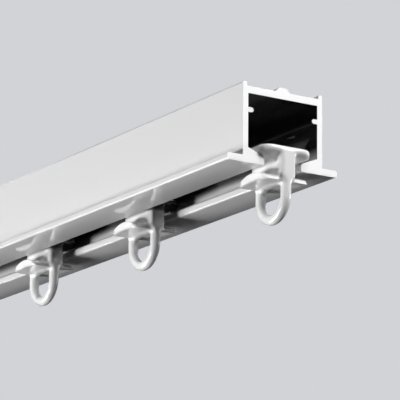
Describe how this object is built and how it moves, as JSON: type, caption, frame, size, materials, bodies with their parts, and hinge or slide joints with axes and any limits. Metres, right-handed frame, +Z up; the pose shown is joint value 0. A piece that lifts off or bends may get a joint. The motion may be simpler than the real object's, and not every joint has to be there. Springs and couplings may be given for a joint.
{
  "type": "curtain track",
  "caption": "Ceiling curtain track: a white aluminium channel open at the bottom, with one-piece plastic gliders whose eyes carry the curtain hooks.",
  "frame": {"origin": "middle of the rail's length, on the plane of the feet that bear on the ceiling", "axes": "+X along the rail, towards the end with the first glider; +Z up, into the ceiling; Y across the slot"},
  "size_m": [0.2031, 0.0344, 0.0362],
  "materials": {
    "rail_coating": "smooth white powder coat",
    "glider_plastic": "moulded, glossy"
  },
  "bodies": {
    "rail": {"rail": "rail_coating"},
    "glider_1": {"glider_1": "glider_plastic"},
    "glider_2": {"glider_2": "glider_plastic"},
    "glider_3": {"glider_3": "glider_plastic"}
  },
  "joints": [
    {"name": "glider_1_slide", "type": "slide", "parent": "rail", "child": "glider_1", "axis": [1, 0, 0], "range_m": [-0.025, 0.0044]},
    {"name": "glider_2_slide", "type": "slide", "parent": "rail", "child": "glider_2", "axis": [1, 0, 0], "range_m": [-0.0211, 0.025]},
    {"name": "glider_3_slide", "type": "slide", "parent": "rail", "child": "glider_3", "axis": [1, 0, 0], "range_m": [-0.0734, 0.0211]}
  ]
}
